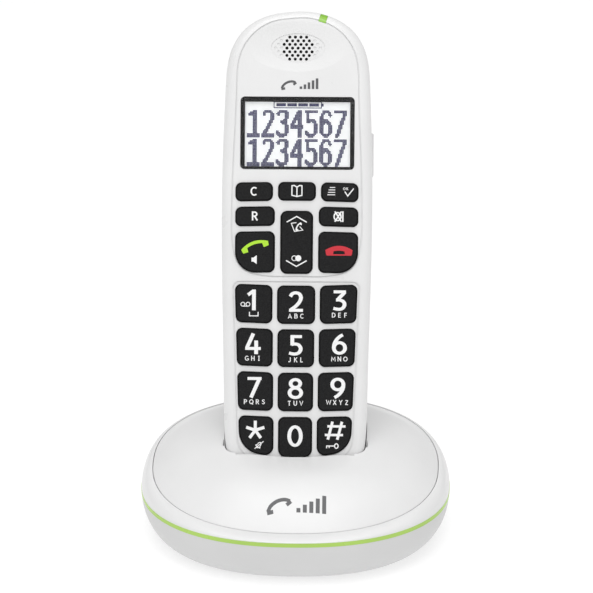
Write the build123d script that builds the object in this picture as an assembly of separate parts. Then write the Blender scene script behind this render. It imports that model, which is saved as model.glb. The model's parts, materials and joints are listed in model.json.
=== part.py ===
"""Cordless telephone: a big-button handset standing in its charging base.

The base is modelled where it stands, with the resting plane at z = 0 and its front at -Y.
The handset is modelled upright in its own frame, with x across, y from the front face to the
back and z along its length from the lower end, and is then leant back into the base.
"""

import os
from math import cos, hypot, pi, radians, sin, tan

from build123d import *

# ---- Handset, in millimetres, in its own upright frame ----
LENGTH = 168.0
THICKNESS = 26.0
WALL = 2.0
FRONT_ROUND = 3.2
BACK_ROUND = 7.0
SPLIT = 12.5                # depth of the joint between the front and the rear shell
SEAM_GAP = 0.3
SEAM_DEPTH = 0.4
GROOVE_WIDTH = 0.5
GROOVE_DEPTH = 0.4
LEAN = 22.0                 # degrees from upright when docked
DOCK_Y = -16.5              # lower front edge of the docked handset
DOCK_Z = 23.8

# Right half of the handset's outline, from the top round to the lower end: (x, z)
HALF_OUTLINE = [(12.6, 165.7), (19.2, 161.3), (23.4, 154.6), (25.4, 141.0), (26.3, 115.0),
                (26.2, 75.0), (25.2, 30.0), (23.9, 12.0), (19.8, 2.8), (10.0, 0.0)]
HALF_UPPER_PANEL = [(9.0, 164.3), (16.0, 159.8), (20.2, 153.0), (21.6, 140.0), (22.6, 115.0),
                    (23.0, 98.0), (22.6, 86.0), (19.6, 78.2), (13.0, 75.3)]
UPPER_PANEL_TOP = 165.6
UPPER_PANEL_BOTTOM = 74.9
LOWER_PANEL = [(-20.2, 10.4), (20.2, 10.4), (22.4, 73.5), (-22.4, 73.5)]
LOWER_PANEL_RADII = [8.0, 8.0, 2.6, 2.6]

# ---- Earpiece ----
EAR_TOP = 158.8
EAR_ROW_PITCH = 1.28
EAR_HOLE_PITCH = 1.95
EAR_ROWS = [4, 5, 6, 5, 6, 5, 4]
EAR_DIMPLES = [0, 1, 1, 2, 1, 1, 0]     # blind holes past each end of a row
DIMPLE_DEPTH = 0.35
EAR_HOLE_RADIUS = 0.55
EAR_CENTRE = 155.0
SMALL_OVAL = (9.5, 5.1)
DISH = (17.3, 8.7)
DISH_DEPTH = 0.35

# ---- Display ----
WINDOW_HALF = 19.9
WINDOW_BOTTOM = 112.6
WINDOW_TOP = 137.9
WINDOW_CORNER = 1.5
WINDOW_THICK = 1.1
BEZEL_THICK = 0.3
VIEW_HALF = 18.4
VIEW_BOTTOM = 113.6
VIEW_TOP = 136.2

# ---- Keys ----
KEY_GAP = 0.25              # between a key and its opening
KEY_PROUD = 0.9
KEY_EDGE = 0.5
KEY_CORNER = 2.0
FLANGE_OUT = 0.45
FLANGE_FRONT = 2.15
FLANGE_BACK = 2.85
NUB_BACK = 3.2
MAT_FRONT = 4.2
MAT_BACK = 5.2
BOARD_FRONT = 6.4
BOARD_BACK = 7.6
COLUMN_GAP = 2.05
SMILE = 0.6                 # rise of the number rows' outer ends
FROWN = -0.35               # drop of the function rows' outer ends
OUTER_X = 21.5              # where that rise or drop is reached
KEYS_HALF = 21.3            # half width of the keypad at its widest

NAVIGATION_Z = 87.1         # middle of the long key, where it rocks
NAVIGATION_AXLE_Y = 2.9
NAVIGATION_AXLE_HALF = 7.1
NAVIGATION_SWITCH = 7.0     # distance of its two switches from the middle
AXLE_RADIUS = 0.7
AXLE_GAP = 0.15
BEARING_WALL = 0.95

# ---- Other pieces of the handset ----
ROCKER_Y = 7.7
ROCKER_Z = 118.0
ROCKER_HALF_LENGTH = 7.7
ROCKER_HALF_WIDTH = 2.15
ROCKER_GAP = 0.3
ROCKER_AXLE_X = 23.0
ROCKER_AXLE_HALF = 3.6
SPEAKER_Z = 128.0
SCREW_X = (-16.5, 16.5)
SCREW_Z = 144.0
CONTACT_X = (-8.0, 8.0)
MIC_Z = 6.5
BOARD_TOP = 140.8

# ---- Battery bay ----
CELL_RADIUS = 5.25
CELL_LENGTH = 44.5
CELL_X = 5.6
CELL_Y = 17.4
CELL_BOTTOM = 36.0
BAY_HALF = 12.4
BAY_BOTTOM = 33.4
BAY_TOP = 84.0
BAY_FRONT = 11.4
BAY_WALL = 1.3
COVER_HALF = 15.0
COVER_BOTTOM = 30.0
COVER_TOP = 92.0
COVER_THICK = 1.3
COVER_PIVOT_Z = 30.6
COVER_PIVOT_Y = 24.5

# ---- Base ----
OVAL_POWER = 2.25           # a little squarer than an ellipse
OVAL_POINTS = 32
SEAM_Z = 17.6
TRIM_HEIGHT = 1.5
TRIM_PROUD = 0.1
BASE_WALL = 2.0
SEAM_HALF = (55.0, 45.4)    # half width and half depth at the seam
# Lower hull: (half width, half depth, height)
HULL = [(43.8, 34.8, 0.8), (48.8, 39.4, 3.0), (52.1, 42.4, 7.0), (54.2, 44.5, 12.0),
        (55.0, 45.4, 17.6)]
RIM_WIDTH = 4.0
COVER_EDGE_Z = 26.7         # height of the cover's edge at y = 0
COVER_SLOPE = 0.146         # that edge climbs towards the back
LID_GAP = 0.25
LEDGE_DEPTH = 1.7
LEDGE_WIDTH = 2.0
LEDGE_THICK = 1.3
# Domed cover: (inset from its edge across, deep, rise above it, slope, shift back, dip in front)
DOME = [(0.0, 0.0, 0.0, 0.146, 0.0, 0.0), (3.7, 3.9, 2.9, 0.125, 0.2, 0.0),
        (9.2, 9.4, 6.3, 0.09, 0.6, 0.2), (18.2, 18.2, 9.4, 0.05, 1.0, 0.7),
        (25.7, 25.5, 11.6, 0.03, 1.5, 2.5), (36.7, 33.0, 11.4, 0.02, 1.6, 0.0)]
WELL_GAP = 0.4
WELL_WALL = 1.6
FOOT_RING = (40.5, 31.3)    # outer half width and half depth of the rubber ring
FOOT_WIDTH = 2.6
FOOT_TALL = 1.6
SCREW_PLACES = [(31.0, 13.0), (-31.0, 13.0), (31.0, -13.0), (-31.0, -13.0)]
BOARD_RESTS = [(22.0, 18.0), (-22.0, 18.0), (22.0, -18.0), (-22.0, -18.0)]
BASE_BOARD_Z = 4.6
BASE_BOARD_THICK = 1.4
JACK_X = 15.5
JACK_FACE_Y = 40.4
JACK_BACK_Y = 27.3
JACK_Z = 12.0
PAGING_Z = 11.5
PAGING_FACE_Y = 44.7

DOCK = Pos(0, DOCK_Y, DOCK_Z) * Rot(-LEAN, 0, 0)


# ---------------------------------------------------------------- helpers

def block(x0, x1, y0, y1, z0, z1):
    """Box between two corners."""
    return Pos((x0 + x1) / 2, (y0 + y1) / 2, (z0 + z1) / 2) * Box(x1 - x0, y1 - y0, z1 - z0)


def rod(x, z, y0, y1, radius):
    """Cylinder along y."""
    return Pos(x, (y0 + y1) / 2, z) * Rot(90, 0, 0) * Cylinder(radius, y1 - y0)


def post(x, y, z0, z1, radius):
    """Cylinder along z."""
    return Pos(x, y, (z0 + z1) / 2) * Cylinder(radius, z1 - z0)


def slab(outline, y0, y1):
    """Solid from a face drawn on the front plane, from depth y0 to depth y1."""
    return Pos(0, y0, 0) * extrude(outline, y1 - y0, dir=(0, 1, 0))


def rounded_patch(corners, radii):
    """Face on the front plane with one corner radius for each (x, z) corner."""
    count = len(corners)
    points = [Vector(x, 0, z) for x, z in corners]
    arcs = []
    for i in range(count):
        to_last = (points[i - 1] - points[i]).normalized()
        to_next = (points[(i + 1) % count] - points[i]).normalized()
        half = radians(to_last.get_angle(to_next)) / 2
        reach = radii[i] / tan(half)
        bulge = radii[i] / sin(half) - radii[i]
        middle = points[i] + (to_last + to_next).normalized() * bulge
        arcs.append(ThreePointArc(points[i] + to_last * reach, middle,
                                  points[i] + to_next * reach))
    lines = [Line(arcs[i - 1] @ 1, arcs[i] @ 0) for i in range(count)]
    return Face(Wire(arcs + lines))


def grown(corners, amount):
    """Move each (x, z) corner of a four-sided outline outwards."""
    middle_x = sum(x for x, z in corners) / len(corners)
    middle_z = sum(z for x, z in corners) / len(corners)
    return [(x + amount if x > middle_x else x - amount,
             z + amount if z > middle_z else z - amount) for x, z in corners]


def closed_outline(half_points, top, bottom, inset=0.0):
    """Symmetric smooth face on the front plane, drawn in by inset along its normals."""
    right = [(0.0, top)] + list(half_points) + [(0.0, bottom)]
    points = right + [(-x, z) for x, z in reversed(half_points)]
    count = len(points)
    moved = []
    for i, (x, z) in enumerate(points):
        last_x, last_z = points[i - 1]
        next_x, next_z = points[(i + 1) % count]
        run = hypot(next_x - last_x, next_z - last_z)
        moved.append((x + inset * (next_z - last_z) / run, 0, z - inset * (next_x - last_x) / run))
    return Face(Wire([Spline(moved, periodic=True)]))


def export(name, *solids):
    """Write one sub-part, all its solids in one file."""
    pieces = [piece for solid in solids for piece in solid.solids()]
    shape = pieces[0] if len(pieces) == 1 else Compound(pieces)
    export_step(shape, f"parts/{name}.step")


def export_docked(name, *solids):
    """Write one sub-part of the handset, leant back as it stands in the base."""
    export(name, *[DOCK * piece for solid in solids for piece in solid.solids()])


# ---------------------------------------------------------------- handset shells

def handset_body(inset=0.0):
    """Whole handset as one solid, drawn in by inset on every side."""
    outline = closed_outline(HALF_OUTLINE, LENGTH, -0.1, inset)
    plan = slab(outline, inset, THICKNESS + 8)
    back = Spline((0, THICKNESS - 3.5 - inset, -12), (0, THICKNESS - inset, 62),
                  (0, THICKNESS - 1.2 - inset, 120), (0, THICKNESS - 6.5 - inset, 180))
    low = Line((0, inset - 1, -12), back @ 0)
    high = Line(back @ 1, (0, inset - 1, 180))
    front = Line((0, inset - 1, 180), (0, inset - 1, -12))
    side = Pos(-40, 0, 0) * extrude(Face(Wire([low, back, high, front])), 80, dir=(1, 0, 0))
    body = (plan & side).solids()[0]
    front_edges = [edge for edge in body.edges() if edge.bounding_box().max.Y < inset + 0.01]
    body = body.fillet(max(FRONT_ROUND - inset, 0.8), front_edges)
    back_edges = [edge for edge in body.edges() if edge.bounding_box().min.Y > 15]
    return body.fillet(BACK_ROUND - inset, back_edges)


def seam_groove():
    """Narrow channel round the joint between the two shells."""
    band = block(-40, 40, SPLIT - SEAM_GAP / 2, SPLIT + SEAM_GAP / 2, -10, 180)
    return band - handset_body(SEAM_DEPTH)


def earpiece_holes():
    """The rows of small holes over the receiver."""
    holes = []
    for row, count in enumerate(EAR_ROWS):
        z = EAR_TOP - row * EAR_ROW_PITCH
        blind = EAR_DIMPLES[row]
        for i in range(-blind, count + blind):
            x = (i - (count - 1) / 2) * EAR_HOLE_PITCH
            through = 0 <= i < count
            back = WALL + 1 if through else DISH_DEPTH + DIMPLE_DEPTH
            holes.append(rod(x, z, -1, back, EAR_HOLE_RADIUS))
    return holes


def ear_dish():
    """Shallow oval hollow that the ear rests against."""
    lens = scale(Sphere(1), by=(DISH[0] / 0.6, DISH_DEPTH * 5, DISH[1] / 0.6))
    return Pos(0, -DISH_DEPTH * 4, EAR_CENTRE + 0.4) * lens


def panel_grooves():
    """The fine lines that frame the two groups of keys."""
    upper = (closed_outline(HALF_UPPER_PANEL, UPPER_PANEL_TOP, UPPER_PANEL_BOTTOM)
             - closed_outline(HALF_UPPER_PANEL, UPPER_PANEL_TOP, UPPER_PANEL_BOTTOM, GROOVE_WIDTH))
    lower_inner = [radius - GROOVE_WIDTH for radius in LOWER_PANEL_RADII]
    lower = (rounded_patch(LOWER_PANEL, LOWER_PANEL_RADII)
             - rounded_patch(grown(LOWER_PANEL, -GROOVE_WIDTH), lower_inner))
    return [slab(face, -1, GROOVE_DEPTH) for outline in (upper, lower) for face in outline.faces()]


def front_shell(outer, cavity, keys):
    """Front moulding, with its openings for keys, display, holes and volume rocker."""
    shell = (outer - cavity) & block(-40, 40, -1, SPLIT, -10, 180)
    shell -= seam_groove()
    shell -= ear_dish()
    oval = Pos(0, 0, EAR_CENTRE) * Rot(-90, 0, 0) * Ellipse(*SMALL_OVAL)
    shell -= slab(oval, -1, DISH_DEPTH + 0.15)
    for hole in earpiece_holes():
        shell -= hole
    for groove in panel_grooves():
        shell -= groove
    for corners, radii in keys.values():
        opening = rounded_patch(grown(corners, KEY_GAP), [r + KEY_GAP for r in radii])
        shell -= slab(opening, -1, WALL + 1)
    shell -= slab(window_outline(0.08), -1, WINDOW_THICK + BEZEL_THICK)
    shell -= block(-VIEW_HALF - 0.3, VIEW_HALF + 0.3, 0, WALL + 1, VIEW_BOTTOM - 0.3, VIEW_TOP + 0.3)
    shell -= rocker_block(22, 28, ROCKER_GAP)
    shell -= indicator_block(0.05)
    shell -= rod(0, MIC_Z, -1, WALL + 1, 0.6)
    shell += navigation_bearings()
    shell += rocker_bearings()
    for x in SCREW_X:
        boss = rod(x, SCREW_Z, WALL - 0.5, SPLIT, 2.6)
        shell += boss - rod(x, SCREW_Z, 6, SPLIT + 1, 1.2)
    return shell


def rear_shell(outer, cavity):
    """Rear moulding, with the battery bay, screw wells and loudspeaker slots."""
    shell = (outer - cavity) & block(-40, 40, SPLIT, THICKNESS + 2, -10, 180)
    shell -= seam_groove()
    tray = block(-BAY_HALF - BAY_WALL, BAY_HALF + BAY_WALL, BAY_FRONT - BAY_WALL, THICKNESS,
                 BAY_BOTTOM - BAY_WALL, BAY_TOP + BAY_WALL)
    shell += tray & handset_body(WALL - 0.5)
    shell -= block(-BAY_HALF, BAY_HALF, BAY_FRONT, THICKNESS + 2, BAY_BOTTOM, BAY_TOP)
    seat = block(-COVER_HALF - 0.3, COVER_HALF + 0.3, SPLIT, THICKNESS + 2,
                 COVER_BOTTOM - 0.5, COVER_TOP + 0.3)
    shell -= seat - handset_body(COVER_THICK + 0.3)
    for x in (-9, 9):
        room = Pos(x, COVER_PIVOT_Y, COVER_PIVOT_Z) * Rot(0, 90, 0) * Cylinder(3.2, 4.8)
        shell -= room & handset_body(COVER_THICK)
    for x in SCREW_X:
        well = rod(x, SCREW_Z, SPLIT + 0.2, THICKNESS - 1.5, 4.2)
        shell += well & handset_body(WALL - 0.5)
        shell -= rod(x, SCREW_Z, 16.5, THICKNESS + 2, 3.0)
        shell -= rod(x, SCREW_Z, SPLIT - 1, 17, 1.35)
    for i in range(5):
        z = SPEAKER_Z + (i - 2) * 2.6
        half = 6.0 - abs(i - 2) * 1.2
        shell -= block(-half, half, 18, THICKNESS + 2, z - 0.6, z + 0.6)
    for x in CONTACT_X:
        shell -= handset_contact_block(x)
    return shell


def battery_cover(outer):
    """Lid over the cells, flush with the back, with two hooks at its lower edge."""
    footprint = block(-COVER_HALF, COVER_HALF, SPLIT, THICKNESS + 2, COVER_BOTTOM, COVER_TOP)
    lid = (outer - handset_body(COVER_THICK)) & footprint
    for x in (-9, 9):
        lid += block(x - 2, x + 2, COVER_PIVOT_Y - 2.2, COVER_PIVOT_Y - 0.2,
                     COVER_PIVOT_Z - 0.3, COVER_PIVOT_Z + 1.3)
        lid += block(x - 2, x + 2, COVER_PIVOT_Y - 2.2, COVER_PIVOT_Y - 1.2,
                     COVER_PIVOT_Z - 1.8, COVER_PIVOT_Z + 1.3)
    thumb = Pos(0, THICKNESS + 5.2, COVER_TOP - 7) * Rot(0, 90, 0) * Cylinder(6.2, 10)
    return lid - thumb


# ---------------------------------------------------------------- display and indicator

def window_outline(margin=0.0):
    """Display window: a rectangle with small corners."""
    half = WINDOW_HALF + margin
    low = WINDOW_BOTTOM - margin
    high = WINDOW_TOP + margin
    corners = [(-half, low), (half, low), (half, high), (-half, high)]
    return rounded_patch(corners, [WINDOW_CORNER + margin] * 4)


def display_bezel():
    """Black surround behind the lens."""
    front = WINDOW_THICK
    frame = slab(window_outline(-0.02), front, front + BEZEL_THICK)
    return frame - block(-VIEW_HALF, VIEW_HALF, 0, 3, VIEW_BOTTOM, VIEW_TOP)


def lcd_holder():
    """Frame that carries the display glass in front of the board."""
    frame = block(-20.5, 20.5, 2.1, BOARD_FRONT, 111.6, 139.0)
    return frame - block(-19.3, 19.3, 1, 4.2, 112.8, 137.6)


def indicator_block(margin=0.0):
    """Short bar across the top edge, over the lamp."""
    return (Pos(8.7, 0, 165.4) * Rot(0, 17, 0)
            * block(-1.3 - margin, 1.3 + margin, -1, 5.5, -1.5 - margin, 4.0))


def indicator_light_pipe(outer):
    """Green bar flush with the rounded edge, reaching back to the board's lamp."""
    skin = indicator_block() & outer
    return skin + block(7.3, 9.3, 3.6, BOARD_FRONT + 3, 162.4, 164.3)


# ---------------------------------------------------------------- keys

def bowed(x, z, rise):
    """Lift z by an amount that grows towards the handset's sides."""
    return z + rise * (x / OUTER_X) ** 2


def four_corners(x0, x1, z0, z1, rise):
    """Corners of one key in a bowed row, anticlockwise from the lower left."""
    return [(x0, bowed(x0, z0, rise)), (x1, bowed(x1, z0, rise)),
            (x1, bowed(x1, z1, rise)), (x0, bowed(x0, z1, rise))]


def number_row(names, z0, z1, low_rise=SMILE, low_radius=KEY_CORNER, end_radius=KEY_CORNER):
    """Three keys of the number pad, drawn in a little towards the lower end."""
    middle = 6.45 - 0.7 * (65.2 - (z0 + z1) / 2) / 46
    inner = middle + COLUMN_GAP
    side_high = KEYS_HALF - 2.0 * (72 - z1) / 60
    side_low = KEYS_HALF - 2.0 * (72 - z0) / 60
    right = [(inner, bowed(inner, z0, low_rise)), (side_low, bowed(side_low, z0, low_rise)),
             (side_high, bowed(side_high, z1, SMILE)), (inner, bowed(inner, z1, SMILE))]
    left = [(-x, z) for x, z in (right[1], right[0], right[3], right[2])]
    centre = [(-middle, bowed(middle, z0, low_rise)), (middle, bowed(middle, z0, low_rise)),
              (middle, bowed(middle, z1, SMILE)), (-middle, bowed(middle, z1, SMILE))]
    corner = KEY_CORNER
    return {names[0]: (left, [end_radius, low_radius, corner, corner]),
            names[1]: (centre, [low_radius, low_radius, corner, corner]),
            names[2]: (right, [low_radius, end_radius, corner, corner])}


def function_pair(names, inner, z0, z1, low_radius):
    """A left and a right key of the function group."""
    corner = KEY_CORNER
    right = four_corners(inner, KEYS_HALF, z0, z1, FROWN)
    left = four_corners(-KEYS_HALF, -inner, z0, z1, FROWN)
    return {names[0]: (left, [low_radius, corner, corner, corner]),
            names[1]: (right, [corner, low_radius, corner, corner])}


def all_keys():
    """Name of each key with its corners and corner radii."""
    keys = {}
    keys.update(number_row(("key_1", "key_2", "key_3"), 58.7, 71.7))
    keys.update(number_row(("key_4", "key_5", "key_6"), 43.6, 56.4))
    keys.update(number_row(("key_7", "key_8", "key_9"), 28.1, 41.2))
    keys.update(number_row(("key_star", "key_0", "key_hash"), 11.7, 25.7, 3.2, 2.8, 8.0))
    keys.update(function_pair(("key_clear", "key_menu_ok"), 8.6, 101.8, 108.0, 1.8))
    keys.update(function_pair(("key_recall", "key_mute"), 7.9, 93.1, 99.5, 1.8))
    keys.update(function_pair(("key_talk", "key_end"), 7.8, 76.8, 90.8, 7.0))
    keys["key_phonebook"] = (four_corners(-6.4, 6.4, 101.9, 108.0, FROWN), [1.8] * 4)
    keys["key_navigation"] = (four_corners(-5.5, 5.5, 76.3, 97.9, 0), [2.2] * 4)
    return keys


def switch_places(name, corners):
    """Where the switches under a key lie: one in the middle, or one by each end of the long key."""
    x = sum(corner[0] for corner in corners) / 4
    z = sum(corner[1] for corner in corners) / 4
    if name == "key_navigation":
        return [(x, z - NAVIGATION_SWITCH), (x, z + NAVIGATION_SWITCH)]
    return [(x, z)]


def key_solid(name, corners, radii):
    """One key: a cap with soft edges, a flange or an axle to hold it, and nubs over its switches."""
    cap = slab(rounded_patch(corners, radii), -KEY_PROUD, FLANGE_FRONT + 0.2)
    rim = [edge for edge in cap.edges() if edge.bounding_box().max.Y < -KEY_PROUD + 0.01]
    key = cap.solids()[0].fillet(KEY_EDGE, rim)
    if name == "key_navigation":
        key += navigation_axle(NAVIGATION_AXLE_HALF, AXLE_RADIUS)
    else:
        flange_radii = [radius + FLANGE_OUT for radius in radii]
        key += slab(rounded_patch(grown(corners, FLANGE_OUT), flange_radii), FLANGE_FRONT, FLANGE_BACK)
    for x, z in switch_places(name, corners):
        key += rod(x, z, FLANGE_FRONT, NUB_BACK, 2.0)
    return key


def navigation_axle(half_length, radius):
    """Round bar across the long key, behind the panel."""
    return (Pos(0, NAVIGATION_AXLE_Y, NAVIGATION_Z) * Rot(0, 90, 0)
            * Cylinder(radius, 2 * half_length))


def navigation_bearings():
    """Two saddles behind the panel that the long key's axle snaps into."""
    low = NAVIGATION_Z - AXLE_RADIUS - BEARING_WALL
    high = NAVIGATION_Z + AXLE_RADIUS + BEARING_WALL
    saddles = block(-7.1, -5.95, WALL - 0.2, NAVIGATION_AXLE_Y + 0.7, low, high)
    saddles += block(5.95, 7.1, WALL - 0.2, NAVIGATION_AXLE_Y + 0.7, low, high)
    saddles -= navigation_axle(10, AXLE_RADIUS + AXLE_GAP)
    mouth = AXLE_RADIUS + AXLE_GAP - 0.05
    return saddles - block(-10, 10, NAVIGATION_AXLE_Y, 5, NAVIGATION_Z - mouth, NAVIGATION_Z + mouth)


def rocker_block(x0, x1, margin=0.0):
    """Upright bar at the volume rocker's place in the right edge."""
    half_width = ROCKER_HALF_WIDTH + margin
    half_length = ROCKER_HALF_LENGTH + margin
    return block(x0, x1, ROCKER_Y - half_width, ROCKER_Y + half_width,
                 ROCKER_Z - half_length, ROCKER_Z + half_length)


def rocker_axle(half_length, radius):
    """Round bar through the volume rocker, along y."""
    return rod(ROCKER_AXLE_X, ROCKER_Z, ROCKER_Y - half_length, ROCKER_Y + half_length, radius)


def volume_rocker():
    """Rocker in the right edge: a rounded bar on an axle inside the wall."""
    bar = rocker_block(22.6, 26.8)
    outer_edges = [edge for edge in bar.edges() if edge.bounding_box().min.X > 26.7]
    return bar.solids()[0].fillet(0.7, outer_edges) + rocker_axle(ROCKER_AXLE_HALF, AXLE_RADIUS)


def rocker_bearings():
    """Two saddles inside the right wall that the volume rocker's axle snaps into."""
    low = ROCKER_Z - AXLE_RADIUS - BEARING_WALL
    high = ROCKER_Z + AXLE_RADIUS + BEARING_WALL
    inner_x = ROCKER_AXLE_X - 0.7
    saddles = block(inner_x, 24.6, ROCKER_Y - ROCKER_AXLE_HALF, ROCKER_Y - 2.6, low, high)
    saddles += block(inner_x, 24.6, ROCKER_Y + 2.6, ROCKER_Y + ROCKER_AXLE_HALF, low, high)
    saddles -= rocker_axle(5, AXLE_RADIUS + AXLE_GAP)
    mouth = AXLE_RADIUS + AXLE_GAP - 0.05
    return saddles - block(20, ROCKER_AXLE_X, 0, 15, ROCKER_Z - mouth, ROCKER_Z + mouth)


# ---------------------------------------------------------------- inside the handset

def keypad_mat(keys):
    """Rubber sheet behind the keys, with a contact pill under each one."""
    mat = slab(rounded_patch([(-21.5, 11.5), (21.5, 11.5), (22.4, 109.5), (-22.4, 109.5)],
                             [6, 6, 3, 3]), MAT_FRONT, MAT_BACK)
    for name, (corners, radii) in keys.items():
        for x, z in switch_places(name, corners):
            mat += rod(x, z, MAT_BACK - 0.2, BOARD_FRONT - 0.4, 2.2)
    return mat


def handset_circuit_board():
    """Board that follows the shell's outline."""
    outline = closed_outline(HALF_OUTLINE, LENGTH, -0.1, WALL + 1.0)
    board = slab(outline, BOARD_FRONT, BOARD_BACK) & block(-40, 40, 0, 12, 9.5, BOARD_TOP)
    return board - block(21.6, 40, 0, 12, ROCKER_Z - 9.5, ROCKER_Z + 9.5)


def cells():
    """Two AAA cells side by side, nose to tail."""
    pair = []
    for side in (-1, 1):
        base = CELL_BOTTOM if side < 0 else CELL_BOTTOM + 0.8
        body = post(side * CELL_X, CELL_Y, base, base + CELL_LENGTH - 0.8, CELL_RADIUS)
        if side < 0:
            nose = post(side * CELL_X, CELL_Y, base + CELL_LENGTH - 1, base + CELL_LENGTH, 1.9)
        else:
            nose = post(side * CELL_X, CELL_Y, base - 0.8, base + 0.2, 1.9)
        pair.append(body + nose)
    return pair


def battery_contacts():
    """Four plates at the ends of the bay."""
    plates = []
    for x in (-CELL_X, CELL_X):
        plates.append(block(x - 4, x + 4, CELL_Y - 4, CELL_Y + 4, BAY_BOTTOM, BAY_BOTTOM + 0.5))
        plates.append(block(x - 4, x + 4, CELL_Y - 4, CELL_Y + 4, BAY_TOP - 0.5, BAY_TOP))
    return plates


def handset_contact_block(x):
    """Space of one charging plate in the lower end."""
    return block(x - 2.4, x + 2.4, 13.4, 17.0, -2, WALL + 0.6)


def handset_screws():
    """Two screws that hold the shells together."""
    screws = []
    for x in SCREW_X:
        head = rod(x, SCREW_Z, 16.5, 18.4, 2.6)
        screws.append(head + rod(x, SCREW_Z, 7.5, 17, 1.15))
    return screws


def earpiece():
    """Receiver capsule behind the holes."""
    return rod(0, EAR_CENTRE, WALL + 0.1, WALL + 3.8, 7.6) - rod(0, EAR_CENTRE, WALL, WALL + 0.6, 6.6)


def loudspeaker():
    """Hands-free speaker behind the slots in the back."""
    return rod(0, SPEAKER_Z, 16.5, 20.5, 9.0) + rod(0, SPEAKER_Z, 14.5, 17, 5.0)


def handset_antenna():
    """Bent metal strip standing on the back of the board."""
    return block(14, 14.5, BOARD_BACK, 12, 128, 139) + block(6, 14.5, 11.5, 12, 136.5, 139)


# ---------------------------------------------------------------- base

def oval(half_width, half_depth, height, slope=0.0, shift=0.0, dip=0.0):
    """Closed superellipse curve that climbs by slope towards the back and dips in front."""
    points = []
    for k in range(OVAL_POINTS):
        angle = 2 * pi * k / OVAL_POINTS
        across = abs(cos(angle) / half_width) ** OVAL_POWER
        deep = abs(sin(angle) / half_depth) ** OVAL_POWER
        reach = (across + deep) ** (-1 / OVAL_POWER)
        y = reach * sin(angle)
        lowered = dip * (1 - abs(cos(angle)) ** 3) if sin(angle) < 0 else 0.0
        points.append((reach * cos(angle), y + shift, height + slope * y - lowered))
    return Wire([Spline(points, periodic=True)])


def skin(sections):
    """Smooth solid through a stack of closed curves."""
    return Solid.make_loft(sections)


def column(half_width, half_depth, low, high):
    """Straight oval column."""
    return extrude(Face(oval(half_width, half_depth, low)), high - low, dir=(0, 0, 1))


def hull(inset=0.0):
    """Lower body as one solid; with an inset it is the space inside."""
    bottom = HULL[0][2]
    squeeze = (SEAM_Z - bottom - inset) / (SEAM_Z - bottom)
    return skin([oval(a - inset, b - inset, SEAM_Z - (SEAM_Z - z) * squeeze) for a, b, z in HULL])


def jack_window(x, half):
    """Opening in the rear wall for one socket."""
    return block(x - half - 0.2, x + half + 0.2, JACK_FACE_Y - 4, 53, JACK_Z - 5.1, JACK_Z + 4.7)


def base_lower_shell():
    """Lower tray, with a groove for the foot, screw posts, board rests and rear openings."""
    floor = HULL[0][2]
    shell = hull() - hull(BASE_WALL)
    for x, y in SCREW_PLACES:
        shell += post(x, y, floor + 1, 12, 3.4)
        shell -= post(x, y, -1, floor + 2.6, 3.0)
        shell -= post(x, y, 0, 13, 1.4)
    for x, y in BOARD_RESTS:
        shell += post(x, y, floor + 1, BASE_BOARD_Z, 2.4)
    shell -= base_foot_ring()
    for x in (-JACK_X, JACK_X):
        shell -= jack_window(x, 7.0)
    shell -= rod(0, PAGING_Z, 37, 53, 4.3)
    return shell


def trim_ring():
    """Green line: a thin ring clamped between the two shells."""
    across, deep = SEAM_HALF
    ring = column(across + TRIM_PROUD, deep + TRIM_PROUD, SEAM_Z, SEAM_Z + TRIM_HEIGHT)
    return ring - column(across - 3, deep - 3, SEAM_Z - 1, SEAM_Z + TRIM_HEIGHT + 1)


def rim_sections(inset, drop):
    """Curves of the rim, rolling over from the seam to the cover's edge."""
    across, deep = SEAM_HALF
    low = SEAM_Z + TRIM_HEIGHT
    curves = []
    for step in range(5):
        angle = step / 4 * pi / 2
        draw_in = RIM_WIDTH * (1 - cos(angle)) + inset
        climb = sin(angle)
        height = low + (COVER_EDGE_Z - drop - low) * climb
        curves.append(oval(across - draw_in, deep - draw_in, height, COVER_SLOPE * climb))
    return curves


def lid_recess(inset, depth):
    """Space over the cover's edge, down to a depth below the rim."""
    across, deep = SEAM_HALF
    face = Face(oval(across - RIM_WIDTH - inset, deep - RIM_WIDTH - inset,
                     COVER_EDGE_Z - depth, COVER_SLOPE))
    return extrude(face, 40, dir=(0, 0, 1))


def base_upper_shell():
    """Glossy rim with a ledge that carries the cover."""
    shell = skin(rim_sections(0, 0)) - skin(rim_sections(BASE_WALL, LEDGE_DEPTH + LEDGE_THICK))
    shell -= lid_recess(0, LEDGE_DEPTH)
    return shell - lid_recess(LEDGE_WIDTH, 30)


def dome(inset, drop):
    """Cover's domed form, drawn in and lowered for its inside."""
    across = SEAM_HALF[0] - RIM_WIDTH - LID_GAP - inset
    deep = SEAM_HALF[1] - RIM_WIDTH - LID_GAP - inset
    return skin([oval(across - a, deep - b, COVER_EDGE_Z + rise - drop, slope, shift, dip)
                 for a, b, rise, slope, shift, dip in DOME])


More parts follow.
